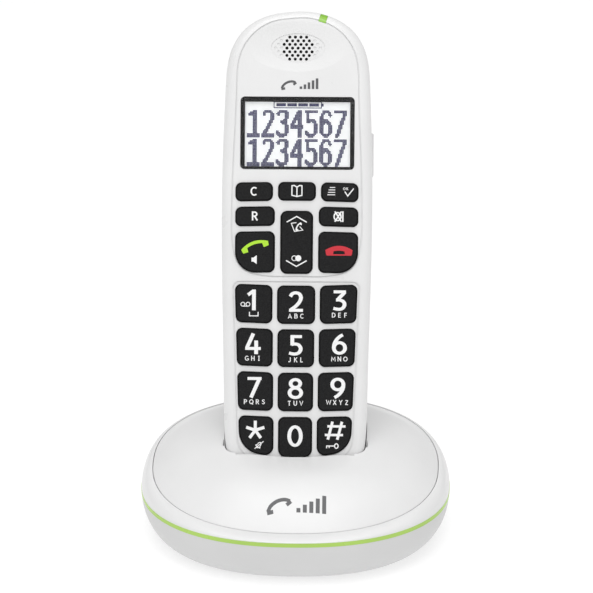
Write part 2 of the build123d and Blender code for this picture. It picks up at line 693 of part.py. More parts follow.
def base_top_cover():
    """Domed cover with the well that the handset stands in."""
    across = SEAM_HALF[0] - RIM_WIDTH - LID_GAP
    deep = SEAM_HALF[1] - RIM_WIDTH - LID_GAP
    edge_face = Face(oval(across, deep, COVER_EDGE_Z, COVER_SLOPE))
    form = dome(0, 0) + extrude(edge_face, LEDGE_DEPTH, dir=(0, 0, -1))
    inside = dome(LEDGE_WIDTH, BASE_WALL)
    inside_face = Face(oval(across - LEDGE_WIDTH, deep - LEDGE_WIDTH,
                            COVER_EDGE_Z - BASE_WALL, COVER_SLOPE))
    inside += extrude(inside_face, 20, dir=(0, 0, -1))
    below = form + extrude(Face(oval(across - 4, deep - 4, COVER_EDGE_Z, COVER_SLOPE)), 20,
                           dir=(0, 0, -1))
    cover = form - inside
    cover += (DOCK * handset_body(-WELL_GAP - WELL_WALL)) & below
    for x, y in SCREW_PLACES:
        cover += post(x, y, 12.2, 40, 3.2) & form_and_below(form, x, y)
    cover -= DOCK * handset_body(-WELL_GAP)
    cover -= DOCK * block(-20.8, 20.8, -KEY_PROUD - WELL_GAP, 0, 11.4, 60)
    for x in (-24.7, 24.7):
        cover -= DOCK * block(x - 0.8, x + 0.8, 3.2, 6.2, 8, 30)
    for x, y in SCREW_PLACES:
        cover -= post(x, y, 11, 26, 1.2)
    for x in CONTACT_X:
        cover -= DOCK * block(x - 1.6, x + 1.6, 13.6, 16.8, -8, 2)
    return cover


def form_and_below(form, x, y):
    """Space under the cover's outer surface round one screw post."""
    return form + post(x, y, 10, COVER_EDGE_Z, 4)


def base_foot_ring():
    """Oval rubber ring let into the floor, which the telephone stands on."""
    across, deep = FOOT_RING
    ring = column(across, deep, 0, FOOT_TALL)
    return ring - column(across - FOOT_WIDTH, deep - FOOT_WIDTH, -1, FOOT_TALL + 1)


def base_screws():
    """Four screws that pull the tray up to the cover."""
    floor = HULL[0][2]
    return [post(x, y, floor + 0.6, floor + 2.6, 2.7) + post(x, y, floor + 1, 22, 1.15)
            for x, y in SCREW_PLACES]


def modular_jack(x, slot_half):
    """Socket for a telephone plug, open to the rear."""
    body = block(x - 7.0, x + 7.0, JACK_BACK_Y, JACK_FACE_Y, JACK_Z - 4.9, JACK_Z + 4.5)
    body -= block(x - slot_half, x + slot_half, JACK_BACK_Y + 1.5, JACK_FACE_Y + 1,
                  JACK_Z - 3.4, JACK_Z + 3.2)
    notch = block(x - 3, x + 3, JACK_BACK_Y + 1.5, JACK_FACE_Y + 1, JACK_Z - 4.4, JACK_Z - 3)
    legs = block(x - 6, x + 6, JACK_BACK_Y + 1, JACK_BACK_Y + 6,
                 BASE_BOARD_Z + BASE_BOARD_THICK, JACK_Z - 4.6)
    return body - notch + legs


def contact_carrier():
    """Block under the well that holds the two charging contacts."""
    body = block(-12, 12, 11.5, 19, -6.2, -2.4)
    for x in CONTACT_X:
        body -= block(x - 1.1, x + 1.1, 13.9, 16.5, -8, 0)
    return DOCK * body


def base_charge_contacts():
    """Two sprung contacts that reach up to the handset's plates."""
    strips = []
    for x in CONTACT_X:
        strip = block(x - 1.1, x + 1.1, 13.9, 14.4, -7.4, -0.9)
        strip += block(x - 1.1, x + 1.1, 13.9, 16.5, -1.4, -0.5)
        strip += block(x - 1.1, x + 1.1, 16.0, 16.5, -7.4, -0.9)
        strips.append(DOCK * strip)
    return strips


def base_circuit_board():
    """Board on four rests in the tray."""
    low = BASE_BOARD_Z
    high = low + BASE_BOARD_THICK
    return block(-27, 27, -24, 26.8, low, high) + block(-23, 23, 25, 34.8, low, high)


def base_antenna():
    """Bent metal strip standing on the board."""
    low = BASE_BOARD_Z + BASE_BOARD_THICK
    return block(-26, -25.4, -20, 4, low, low + 6) + block(-26, -20, -20, -19.4, low, low + 6)


def paging_button():
    """Round button in the rear wall."""
    return rod(0, PAGING_Z, 38.3, PAGING_FACE_Y, 4.0) + rod(0, PAGING_Z, 37.6, 38.8, 4.9)


# ---------------------------------------------------------------- build

def build_handset():
    """Write every piece of the handset."""
    outer = handset_body()
    cavity = handset_body(WALL)
    keys = all_keys()
    export_docked("handset_front_shell", front_shell(outer, cavity, keys))
    export_docked("handset_rear_shell", rear_shell(outer, cavity))
    export_docked("battery_cover", battery_cover(outer))
    for name, (corners, radii) in keys.items():
        export_docked(name, key_solid(name, corners, radii))
    export_docked("volume_rocker", volume_rocker())
    export_docked("display_window", slab(window_outline(), 0, WINDOW_THICK))
    export_docked("display_bezel", display_bezel())
    export_docked("lcd_panel", block(-19.1, 19.1, 2.2, 4.0, 113.0, 137.4))
    export_docked("lcd_holder", lcd_holder())
    export_docked("indicator_light_pipe", indicator_light_pipe(outer))
    export_docked("keypad_mat", keypad_mat(keys))
    export_docked("handset_circuit_board", handset_circuit_board())
    export_docked("battery_cells", *cells())
    export_docked("battery_contacts", *battery_contacts())
    plates = [handset_contact_block(x) & outer for x in CONTACT_X]
    export_docked("handset_charge_contacts", *plates)
    export_docked("handset_screws", *handset_screws())
    export_docked("earpiece", earpiece())
    export_docked("loudspeaker", loudspeaker())
    export_docked("microphone", rod(0, MIC_Z, WALL + 0.2, WALL + 3.0, 2.5))
    export_docked("handset_antenna", handset_antenna())


def build_base():
    """Write every piece of the base."""
    export("base_lower_shell", base_lower_shell())
    export("base_trim_ring", trim_ring())
    export("base_upper_shell", base_upper_shell())
    export("base_top_cover", base_top_cover())
    export("base_foot_ring", base_foot_ring())
    export("base_screws", *base_screws())
    export("line_jack", modular_jack(JACK_X, 4.9))
    export("power_jack", modular_jack(-JACK_X, 3.9))
    export("contact_carrier", contact_carrier())
    export("base_charge_contacts", *base_charge_contacts())
    export("base_circuit_board", base_circuit_board())
    export("base_antenna", base_antenna())
    export("paging_button", paging_button())


os.makedirs("parts", exist_ok=True)
build_handset()
build_base()
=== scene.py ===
"""Looks of the cordless phone and its charging base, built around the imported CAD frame.

Lengths in this file are in metres, except where a name or comment says mm.
"""
import json
import math

import bmesh
import bpy
from mathutils import Matrix, Vector
from mathutils.bvhtree import BVHTree


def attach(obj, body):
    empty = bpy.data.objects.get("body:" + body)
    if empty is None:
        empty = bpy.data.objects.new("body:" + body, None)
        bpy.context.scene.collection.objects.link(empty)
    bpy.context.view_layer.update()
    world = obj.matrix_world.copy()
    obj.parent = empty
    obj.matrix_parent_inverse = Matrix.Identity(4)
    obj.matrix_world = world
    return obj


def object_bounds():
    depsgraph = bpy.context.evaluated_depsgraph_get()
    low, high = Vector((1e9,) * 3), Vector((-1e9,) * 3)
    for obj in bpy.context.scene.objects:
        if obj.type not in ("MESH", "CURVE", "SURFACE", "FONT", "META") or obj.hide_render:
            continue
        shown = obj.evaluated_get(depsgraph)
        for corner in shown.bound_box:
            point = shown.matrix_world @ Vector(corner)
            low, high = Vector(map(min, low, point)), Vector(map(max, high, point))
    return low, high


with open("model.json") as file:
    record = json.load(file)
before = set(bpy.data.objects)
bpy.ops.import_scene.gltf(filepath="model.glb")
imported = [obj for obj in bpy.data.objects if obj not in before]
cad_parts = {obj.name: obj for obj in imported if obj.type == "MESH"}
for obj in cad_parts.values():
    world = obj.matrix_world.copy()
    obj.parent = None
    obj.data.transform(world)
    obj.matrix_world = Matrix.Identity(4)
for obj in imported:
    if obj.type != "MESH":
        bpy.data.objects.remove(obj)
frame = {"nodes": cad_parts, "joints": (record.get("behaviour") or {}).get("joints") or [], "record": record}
cad_low, cad_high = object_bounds()

MM = 0.001
CAMERA_AZIMUTH = math.radians(1.2)
CAMERA_ELEVATION = math.radians(23)
CAMERA_TARGET = Vector((0.0001, 0.010, 0.0866))
CAMERA_DISTANCE = 0.760
CAMERA_LENS = 131.7          # mm, on a 36 mm sensor

PRINT_PROUD = 0.03           # mm that a printed mark stands above its key
PRINT_SUNK = 0.02            # mm that it reaches into the key
PRINT_STEP = 0.004           # mm between strokes that cross
DIGIT_PEN = (0.66, 0.52)     # mm, half widths of an upright and a level stroke
LETTER_PEN = (0.82, 0.76)    # the same, in tenths of a letter's height
LETTER_SIZE = 0.172          # mm for a tenth of a letter's height
LETTER_PITCH = 2.1           # mm from one small letter to the next
DOT = 0.508                  # mm from one display dot to the next
DOT_FILL = 0.95              # part of that pitch that a dot covers
DISPLAY_ROWS = (-1.5, -11.6)  # mm, feet of the two rows of digits above the display's middle

SURROUNDINGS = 0.58          # brightness of the white world
FLOOR_GLOW = 0.57            # light that the floor gives off, so that it stays nearly white
LIGHT_AIM = Vector((0, 0, 0.08))


# ---------------------------------------------------------------- places on the handset

def lean_of_handset():
    """Angle by which the docked handset leans back, from the direction in which it lifts."""
    lift = next(joint for joint in frame["joints"] if joint["name"] == "handset_lift")
    return math.atan2(lift["axis"][1], lift["axis"][2])


UPRIGHT = Matrix.Rotation(lean_of_handset(), 3, "X")     # turns the docked handset upright
LEANING = UPRIGHT.inverted()


def upright_points(node):
    """Vertices of a CAD node in mm, with the handset turned upright: x across, y back, z up."""
    return [UPRIGHT @ vertex.co / MM for vertex in frame["nodes"][node].data.vertices]


def front_face(node):
    """(centre x, y of the front plane, bottom z, top z) in mm of what shows of a handset node."""
    points = upright_points(node)
    front = min(point.y for point in points)
    shown = [point for point in points if point.y < front + 0.8]
    left = min(point.x for point in shown)
    right = max(point.x for point in shown)
    return (left + right) / 2, front, min(p.z for p in shown), max(p.z for p in shown)


def on_plane(x, y, z):
    """Placing function: across, up and proud (mm) from a point on the upright handset's face."""
    def place(across, up, proud):
        return LEANING @ Vector((x + across, y - proud, z + up)) * MM
    return place


# ---------------------------------------------------------------- strokes and glyphs

def line(*points):
    """Open stroke with straight runs."""
    return list(points), False


def arc_points(x, z, rx, rz, start, end):
    """Points on an oval from one angle to another, in degrees, anticlockwise from the right."""
    steps = max(4, round(abs(end - start) / 9))
    angles = [math.radians(start + (end - start) * i / steps) for i in range(steps + 1)]
    return [(x + rx * math.cos(angle), z + rz * math.sin(angle)) for angle in angles]


def arc(x, z, rx, rz, start, end):
    """Open stroke along an oval."""
    return arc_points(x, z, rx, rz, start, end), False


def ring(x, z, rx, rz):
    """Closed stroke round an oval."""
    return arc_points(x, z, rx, rz, 0, 360)[:-1], True


def curve(*points, steps=7):
    """Smooth stroke through the points."""
    ends = [points[0], *points, points[-1]]
    path = []
    for i in range(1, len(ends) - 2):
        p0, p1, p2, p3 = ends[i - 1:i + 3]
        for step in range(steps):
            t = step / steps
            path.append(tuple(
                0.5 * (2 * b + (c - a) * t + (2 * a - 5 * b + 4 * c - d) * t * t
                       + (3 * b - a - 3 * c + d) * t ** 3)
                for a, b, c, d in zip(p0, p1, p2, p3)))
    path.append(points[-1])
    return path, False


def bowl(x0, x1, z0, z1):
    """Stroke of a letter's closed half, such as the upper part of a P."""
    radius = (z1 - z0) / 2
    turn = arc_points(x1 - radius, (z0 + z1) / 2, radius, radius, 90, -90)
    return [(x0, z1), *turn, (x0, z0)], False


# Keypad digits in mm, baseline at 0 and centred on 0.
DIGITS = {
    "1": [line((0.72, 0), (0.72, 7.25)), line((-1.35, 5.35), (0.55, 6.8))],
    "2": [curve((-2.0, 5.35), (-1.35, 6.3), (-0.15, 6.68), (1.15, 6.25), (1.7, 5.05),
                (1.25, 3.6), (0.1, 2.2), (-1.9, 0.62)),
          line((-2.42, 0.56), (2.42, 0.56))],
    "3": [line((-2.15, 6.68), (2.15, 6.68)), line((1.75, 6.55), (-0.75, 3.95)),
          curve((-1.3, 3.82), (0.0, 3.82), (1.2, 3.3), (1.68, 2.25), (1.1, 1.05),
                (-0.3, 0.56), (-2.2, 0.9))],
    "4": [line((0.1, 7.2), (-2.2, 2.0)), line((-2.72, 1.97), (2.72, 1.97)),
          line((1.1, 0), (1.1, 4.75))],
    "5": [line((-1.85, 6.68), (2.15, 6.68)), line((-1.2, 6.9), (-1.2, 3.6)),
          curve((-1.5, 3.85), (-0.4, 4.1), (1.0, 3.75), (1.75, 2.45), (1.1, 1.05),
                (-0.4, 0.56), (-2.3, 0.9))],
    "6": [ring(0, 2.4, 1.95, 1.84),
          curve((1.15, 7.0), (0.0, 6.3), (-1.1, 5.15), (-1.8, 3.75), (-1.95, 2.4))],
    "7": [line((-2.45, 6.68), (2.45, 6.68)), line((1.75, 6.75), (-1.2, 0))],
    "8": [ring(0, 5.45, 1.66, 1.38), ring(0, 2.2, 2.03, 1.66)],
    "9": [ring(0, 4.85, 1.95, 1.84),
          curve((-1.15, 0.25), (0.0, 0.95), (1.1, 2.1), (1.8, 3.5), (1.95, 4.85))],
    "0": [ring(0, 3.8, 2.03, 3.24)],
    "#": [line((-2.55, 0), (-0.95, 6.3)), line((0.75, 0), (2.35, 6.3)),
          line((-2.75, 4.65), (3.6, 4.65)), line((-3.6, 1.62), (2.75, 1.62))],
    "*": [line((0, 0), (3.35 * math.cos(math.radians(a)), 3.35 * math.sin(math.radians(a))))
          for a in (90, 162, 234, 306, 18)],
}

# Capital letters, ten units high, centred on 0.
LETTERS = {
    "A": [line((-3.5, 0), (0, 9.2), (3.5, 0)), line((-2.2, 2.9), (2.2, 2.9))],
    "B": [line((-2.4, 0), (-2.4, 10)), bowl(-2.4, 2.2, 5.3, 9.15), bowl(-2.4, 2.8, 0.85, 5.3)],
    "C": [arc(0.5, 5, 3.4, 4.15, 48, 312)],
    "D": [line((-2.7, 0), (-2.7, 10)), bowl(-2.7, 3.1, 0.85, 9.15)],
    "E": [line((-2.1, 0), (-2.1, 10)), line((-2.1, 9.15), (2.4, 9.15)),
          line((-2.1, 5.1), (2.0, 5.1)), line((-2.1, 0.85), (2.5, 0.85))],
    "F": [line((-2.0, 0), (-2.0, 10)), line((-2.0, 9.15), (2.4, 9.15)),
          line((-2.0, 5.0), (2.0, 5.0))],
    "G": [arc(0.3, 5, 3.6, 4.15, 48, 335), line((0.6, 4.4), (3.4, 4.4)), line((3.4, 4.4), (3.4, 1.2))],
    "H": [line((-2.7, 0), (-2.7, 10)), line((2.7, 0), (2.7, 10)), line((-2.7, 5.1), (2.7, 5.1))],
    "I": [line((0, 0), (0, 10)), line((-1.6, 9.3), (1.6, 9.3)), line((-1.6, 0.7), (1.6, 0.7))],
    "J": [line((1.4, 10), (1.4, 2.9)), arc(-0.8, 3.0, 2.2, 2.15, 0, -140)],
    "K": [line((-2.3, 0), (-2.3, 10)), line((2.9, 10), (-2.0, 4.7)), line((-0.6, 6.0), (3.2, 0))],
    "L": [line((-1.9, 0), (-1.9, 10)), line((-1.9, 0.85), (2.6, 0.85))],
    "M": [line((-3.9, 0), (-3.1, 9.0), (0, 3.0), (3.1, 9.0), (3.9, 0))],
    "N": [line((-2.8, 0), (-2.8, 10)), line((-2.6, 9.2), (2.6, 0.8)), line((2.8, 0), (2.8, 10))],
    "O": [ring(0, 5, 3.6, 4.15)],
    "P": [line((-2.2, 0), (-2.2, 10)), bowl(-2.2, 2.5, 4.4, 9.15)],
    "Q": [ring(0, 5, 3.6, 4.15), line((0.4, 2.6), (3.4, -0.6))],
    "R": [line((-2.3, 0), (-2.3, 10)), bowl(-2.3, 2.3, 4.8, 9.15), line((-0.2, 5.0), (3.0, 0))],
    "S": [curve((2.5, 8.2), (0.5, 9.15), (-1.9, 8.2), (-1.5, 6.3), (1.1, 4.7), (2.2, 2.8),
                (0.7, 0.95), (-2.6, 1.6))],
    "T": [line((0, 0), (0, 10)), line((-3.0, 9.15), (3.0, 9.15))],
    "U": [([(-2.8, 10), *arc_points(0, 3.7, 2.8, 2.85, 180, 360), (2.8, 10)], False)],
    "V": [line((-3.3, 10), (0, 0.9), (3.3, 10))],
    "W": [line((-4.7, 10), (-2.4, 1.0), (0, 8.6), (2.4, 1.0), (4.7, 10))],
    "X": [line((-3.0, 0), (3.0, 10)), line((-3.0, 10), (3.0, 0))],
    "Y": [line((-3.1, 10), (0, 4.8)), line((3.1, 10), (0, 4.8)), line((0, 5.2), (0, 0))],
    "Z": [line((-2.8, 9.15), (2.9, 9.15)), line((2.4, 9.0), (-2.4, 1.0)),
          line((-2.9, 0.85), (2.9, 0.85))],
}

# Display digits in dots, nine wide and nineteen and a half high, on a corner at 0.
DISPLAY_DIGITS = {
    "1": [line((5.5, 0), (5.5, 19.5)), line((1.9, 16.2), (4.6, 16.4), (5.3, 18.0)),
          line((0, 1.3), (9, 1.3))],
    "2": [curve((1.9, 16.2), (2.4, 17.4), (4.4, 18.3), (6.9, 17.2), (7.8, 14.4), (6.6, 11.0),
                (4.0, 6.2), (1.5, 2.2)), line((0.2, 1.3), (9, 1.3))],
    "3": [curve((1.8, 16.6), (3.0, 18.0), (5.2, 18.3), (7.4, 16.8), (7.7, 14.0), (6.0, 11.4),
                (4.2, 10.8)),
          curve((4.2, 10.8), (6.4, 9.8), (7.7, 7.0), (7.5, 3.8), (5.6, 1.5), (3.0, 1.4), (1.2, 3.8))],
    "4": [line((6.4, 0), (6.4, 19.5)), line((6.0, 18.4), (1.2, 8.4)), line((0, 7.3), (9, 7.3))],
    "5": [line((1.2, 18.1), (8.3, 18.1)), line((2.1, 18.1), (2.1, 11.0)),
          curve((2.4, 11.2), (4.6, 11.9), (6.9, 10.4), (7.7, 7.0), (7.0, 3.2), (4.8, 1.4),
                (2.6, 1.6), (1.1, 3.9))],
    "6": [ring(4.5, 6.4, 3.2, 5.0),
          curve((7.3, 15.8), (6.2, 17.8), (4.4, 18.2), (2.4, 16.4), (1.4, 12.2), (1.3, 6.4))],
    "7": [line((0, 18.1), (9, 18.1)), line((8.0, 17.4), (6.6, 13.6), (1.9, 0))],
}


def unit(x, z):
    """The same direction with length 1."""
    length = math.hypot(x, z)
    return x / length, z / length


def stroke_edges(path, closed, pen):
    """Left and right edge of a stroke along a path, drawn with an oval pen and mitred corners."""
    left, right = [], []
    count = len(path)
    for i, (x, z) in enumerate(path):
        directions = []
        if closed or i > 0:
            directions.append(unit(x - path[i - 1][0], z - path[i - 1][1]))
        if closed or i < count - 1:
            after = path[(i + 1) % count]
            directions.append(unit(after[0] - x, after[1] - z))
        dx, dz = unit(sum(d[0] for d in directions), sum(d[1] for d in directions))
        reach = math.hypot(pen[0] * dz, pen[1] * dx)
        reach /= max(0.6, dx * directions[0][0] + dz * directions[0][1])
        left.append((x - dz * reach, z + dx * reach))
        right.append((x + dz * reach, z - dx * reach))
    return left, right


class Print:
    """Flat marks of one colour on one body, gathered into one mesh of thin closed slabs."""

    def __init__(self, place):
        self.mesh = bmesh.new()
        self.place = place
        self.proud = PRINT_PROUD

    def stroke(self, path, closed, pen, move=lambda x, z: (x, z)):
        """One stroke, as a strip of four-sided sections."""
        left, right = stroke_edges([move(*point) for point in path], closed, pen)
        self.proud += PRINT_STEP
        sections = []
        for (lx, lz), (rx, rz) in zip(left, right):
            corners = [(lx, lz, self.proud), (rx, rz, self.proud),
                       (rx, rz, -PRINT_SUNK), (lx, lz, -PRINT_SUNK)]
            sections.append([self.mesh.verts.new(self.place(*corner)) for corner in corners])
        pairs = list(zip(sections, sections[1:]))
        if closed:
            pairs.append((sections[-1], sections[0]))
        else:
            self.mesh.faces.new(sections[0])
            self.mesh.faces.new(sections[-1])
        for first, second in pairs:
            for side in range(4):
                after = (side + 1) % 4
                self.mesh.faces.new((first[side], first[after], second[after], second[side]))

    def shape(self, outline):
        """One filled outline."""
        self.proud += PRINT_STEP
        front = [self.mesh.verts.new(self.place(x, z, self.proud)) for x, z in outline]
        back = [self.mesh.verts.new(self.place(x, z, -PRINT_SUNK)) for x, z in outline]
        self.mesh.faces.new(front)
        self.mesh.faces.new(back)
        for i in range(len(outline)):
            after = (i + 1) % len(outline)
            self.mesh.faces.new((front[i], front[after], back[after], back[i]))

    def glyph(self, strokes, x, z, size=1.0, pen=DIGIT_PEN, turn=0.0):
        """Strokes drawn at a size about a point, turned anticlockwise by an angle in degrees."""
        cosine, sine = math.cos(math.radians(turn)), math.sin(math.radians(turn))

        def move(px, pz):
            return (x + size * (px * cosine - pz * sine), z + size * (px * sine + pz * cosine))
        for path, closed in strokes:
            self.stroke(path, closed, pen, move)

    def word(self, text, x, z, size=LETTER_SIZE, pitch=LETTER_PITCH, pen=LETTER_PEN):
        """Capital letters centred on x, with their feet at z."""
        for i, letter in enumerate(text):
            middle = x + pitch * (i - (len(text) - 1) / 2)
            self.glyph(LETTERS[letter], middle, z, size, (pen[0] * size, pen[1] * size))

    def finish(self, name, material, body):
        """Turns the marks into one piece that rides on a body."""
        bmesh.ops.recalc_face_normals(self.mesh, faces=self.mesh.faces)
        add_piece(name, self.mesh, material, body)


def add_piece(name, mesh, material, body):
    """Puts a bmesh into the scene as a piece that rides on a CAD body."""
    data = bpy.data.meshes.new(name)
    mesh.to_mesh(data)
    mesh.free()
    data.materials.append(material)
    piece = bpy.data.objects.new(name, data)
    bpy.context.scene.collection.objects.link(piece)
    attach(piece, body)


# ---------------------------------------------------------------- materials

def new_material(name):
    """Empty node material: (material, nodes, link function, principled shader)."""
    material = bpy.data.materials.new(name)
    material.use_nodes = True
    nodes = material.node_tree.nodes
    shader = nodes["Principled BSDF"]
    return material, nodes, material.node_tree.links.new, shader


def noise(nodes, link, scale, detail=3.0, roughness=0.55, stretch=None):
    """Noise texture in the object's own metres; scale is in ripples per metre."""
    place = nodes.new("ShaderNodeTexCoord").outputs["Object"]
    if stretch:
        mapping = nodes.new("ShaderNodeMapping")
        mapping.inputs["Scale"].default_value = stretch
        link(place, mapping.inputs["Vector"])
        place = mapping.outputs["Vector"]
    texture = nodes.new("ShaderNodeTexNoise")
    texture.inputs["Scale"].default_value = scale
    texture.inputs["Detail"].default_value = detail
    texture.inputs["Roughness"].default_value = roughness
    link(place, texture.inputs["Vector"])
    return texture.outputs["Fac"]


def tint(nodes, link, factor, dark, light, low=0.35, high=0.65):
    """Colour that runs from dark to light as the factor goes from low to high."""
    ramp = nodes.new("ShaderNodeValToRGB")
    ramp.color_ramp.elements[0].position = low
    ramp.color_ramp.elements[1].position = high
    ramp.color_ramp.elements[0].color = (*dark, 1)
    ramp.color_ramp.elements[1].color = (*light, 1)
    link(factor, ramp.inputs["Fac"])
    return ramp.outputs["Color"]


def spread(nodes, link, factor, low, high):
    """Number that runs from low to high as the factor goes over its usual range."""
    mapped = nodes.new("ShaderNodeMapRange")
    mapped.inputs["From Min"].default_value = 0.3
    mapped.inputs["From Max"].default_value = 0.7
    mapped.inputs["To Min"].default_value = low
    mapped.inputs["To Max"].default_value = high
    link(factor, mapped.inputs["Value"])
    return mapped.outputs["Result"]


def bump(nodes, link, height, distance, strength=1.0, normal=None):
    """Normal bent by a height map, whose full range is distance metres deep."""
    node = nodes.new("ShaderNodeBump")
    node.inputs["Distance"].default_value = distance
    node.inputs["Strength"].default_value = strength
    link(height, node.inputs["Height"])
    if normal is not None:
        link(normal, node.inputs["Normal"])
    return node.outputs["Normal"]


def blend(nodes, link, first, second, share, kind="MIX"):
    """Colour made from two others, with this share of the second."""
    node = nodes.new("ShaderNodeMix")
    node.data_type = "RGBA"
    node.blend_type = kind
    node.inputs["Factor"].default_value = share
    link(first, node.inputs[6])
    link(second, node.inputs[7])
    return node.outputs[2]


def facing(nodes, link, direction):
    """How squarely the surface faces a direction of the object's own frame: 1 when it does."""
    product = nodes.new("ShaderNodeVectorMath")
    product.operation = "DOT_PRODUCT"
    product.inputs[1].default_value = direction
    link(nodes.new("ShaderNodeTexCoord").outputs["Normal"], product.inputs[0])
    return product.outputs["Value"]


def moulded(name, colour, rough, grain, grain_depth, ripple=0.0, coat=0.0, shade=0.97):
    """Moulded plastic: fine grain, wider flow ripples, and a finish that varies a little.

    rough is the range of roughness; grain and ripple are in waves per metre and metres deep.
    """
    material, nodes, link, shader = new_material(name)
    fine = noise(nodes, link, grain, detail=2.0)
    wide = noise(nodes, link, 45.0, detail=4.0)
    dark = tuple(shade * channel for channel in colour)
    link(tint(nodes, link, wide, dark, colour), shader.inputs["Base Color"])
    link(spread(nodes, link, wide, *rough), shader.inputs["Roughness"])
    normal = bump(nodes, link, fine, grain_depth)
    if ripple:
        slow = noise(nodes, link, 160.0, detail=1.0)
        normal = bump(nodes, link, slow, ripple, normal=normal)
    link(normal, shader.inputs["Normal"])
    if coat:
        shader.inputs["Coat Weight"].default_value = coat
        shader.inputs["Coat Roughness"].default_value = 0.3
    return material


def soft_touch(name):
    """Near-black key plastic: a matt, finely speckled face, with painted shade that darkens every side and
    rounded edge not facing straight out of the keypad.
    """
    material, nodes, link, shader = new_material(name)
    speckle = noise(nodes, link, 2600.0, detail=2.0)
    wide = noise(nodes, link, 210.0, detail=3.0)
    # Painted shade: the colour darkens wherever a key's surface turns away from the keypad's front.
    square = facing(nodes, link, LEANING @ Vector((0, -1, 0)))
    face = tint(nodes, link, speckle, (0.009, 0.009, 0.0095), (0.018, 0.018, 0.0185))
    edge = tint(nodes, link, square, (0.08, 0.08, 0.08), (1, 1, 1), 0.88, 0.99)
    link(blend(nodes, link, face, edge, 1.0, "MULTIPLY"), shader.inputs["Base Color"])
    link(spread(nodes, link, wide, 0.46, 0.6), shader.inputs["Roughness"])
    link(bump(nodes, link, speckle, 0.00003), shader.inputs["Normal"])
    shader.inputs["Specular IOR Level"].default_value = 0.1
    return material


def ink(name, colour, rough=0.42):
    """Screen-printed ink: slightly uneven in colour and thickness."""
    material, nodes, link, shader = new_material(name)
    grain = noise(nodes, link, 3200.0, detail=2.0)
    dark = tuple(0.9 * channel for channel in colour)
    link(tint(nodes, link, grain, dark, colour), shader.inputs["Base Color"])
    link(spread(nodes, link, grain, rough - 0.06, rough + 0.06), shader.inputs["Roughness"])
    link(bump(nodes, link, grain, 0.000006), shader.inputs["Normal"])
    return material


def translucent(name):
    """Green light pipe: clear tinted plastic with a glossy face and cloudy depth."""
    material, nodes, link, shader = new_material(name)
    cloud = noise(nodes, link, 420.0, detail=3.0)
    link(tint(nodes, link, cloud, (0.20, 0.47, 0.012), (0.28, 0.58, 0.02)),
         shader.inputs["Base Color"])
    link(spread(nodes, link, cloud, 0.12, 0.22), shader.inputs["Roughness"])
    link(bump(nodes, link, cloud, 0.00001), shader.inputs["Normal"])
    shader.inputs["Transmission Weight"].default_value = 0.15
    shader.inputs["Coat Weight"].default_value = 0.4
    return material


def clear_acrylic(name):
    """Clear display window with faint moulding ripples."""
    material, nodes, link, shader = new_material(name)
    haze = noise(nodes, link, 300.0, detail=2.0)
    link(tint(nodes, link, haze, (0.97, 0.98, 0.98), (1.0, 1.0, 1.0)), shader.inputs["Base Color"])
    link(spread(nodes, link, haze, 0.0, 0.02), shader.inputs["Roughness"])
    link(bump(nodes, link, haze, 0.000002), shader.inputs["Normal"])
    shader.inputs["Transmission Weight"].default_value = 1.0
    shader.inputs["IOR"].default_value = 1.3
    return material


def display_glass(name):
    """Display face: pale, with the faint grid of its dots, and an even white glow that is painted light
    brightening it in its recess.
    """
    material, nodes, link, shader = new_material(name)
    place = nodes.new("ShaderNodeTexCoord").outputs["Object"]
    grid = nodes.new("ShaderNodeTexWave")
    grid.bands_direction = "X"
    grid.inputs["Scale"].default_value = math.pi / (10 * DOT * MM)
    link(place, grid.inputs["Vector"])
    cloud = noise(nodes, link, 60.0, detail=2.0)
    dots = tint(nodes, link, grid.outputs["Fac"], (0.90, 0.91, 0.92), (0.93, 0.94, 0.95), 0.0, 0.3)
    haze = tint(nodes, link, cloud, (0.90, 0.91, 0.93), (0.94, 0.95, 0.95))
    link(blend(nodes, link, dots, haze, 0.35), shader.inputs["Base Color"])
    link(spread(nodes, link, cloud, 0.32, 0.42), shader.inputs["Roughness"])
    # Painted light: an even white glow that lifts the display face to white.
    shader.inputs["Emission Color"].default_value = (1, 1, 1, 1)
    shader.inputs["Emission Strength"].default_value = 0.3
    return material


def plated(name, dark, light, rough, scratch):
    """Plated metal with fine scratches; scratch is their depth in metres."""
    material, nodes, link, shader = new_material(name)
    brushed = noise(nodes, link, 900.0, detail=4.0, stretch=(1.0, 0.15, 1.0))
    link(tint(nodes, link, brushed, dark, light), shader.inputs["Base Color"])
    link(spread(nodes, link, brushed, *rough), shader.inputs["Roughness"])
    link(bump(nodes, link, brushed, scratch), shader.inputs["Normal"])
    shader.inputs["Metallic"].default_value = 1.0
    return material


def board(name):
    """Circuit board: green solder mask over copper tracks that show a shade lighter."""
    material, nodes, link, shader = new_material(name)
    place = nodes.new("ShaderNodeTexCoord").outputs["Object"]
    tracks = nodes.new("ShaderNodeTexVoronoi")
    tracks.distance = "MANHATTAN"
    tracks.feature = "F2"
    tracks.inputs["Scale"].default_value = 260.0
    link(place, tracks.inputs["Vector"])
    distance = tracks.outputs["Distance"]
    link(tint(nodes, link, distance, (0.012, 0.11, 0.035), (0.03, 0.2, 0.07), 0.45, 0.5),
         shader.inputs["Base Color"])
    link(spread(nodes, link, distance, 0.28, 0.4), shader.inputs["Roughness"])
    link(bump(nodes, link, distance, 0.00003), shader.inputs["Normal"])
    return material


def rubber(name, dark, light, rough):
    """Matt rubber with a dusty, pebbled face."""
    material, nodes, link, shader = new_material(name)
    pebble = noise(nodes, link, 1500.0, detail=3.0)
    link(tint(nodes, link, pebble, dark, light), shader.inputs["Base Color"])
    link(spread(nodes, link, pebble, *rough), shader.inputs["Roughness"])
    link(bump(nodes, link, pebble, 0.00005), shader.inputs["Normal"])
    shader.inputs["Sheen Weight"].default_value = 0.1
    return material


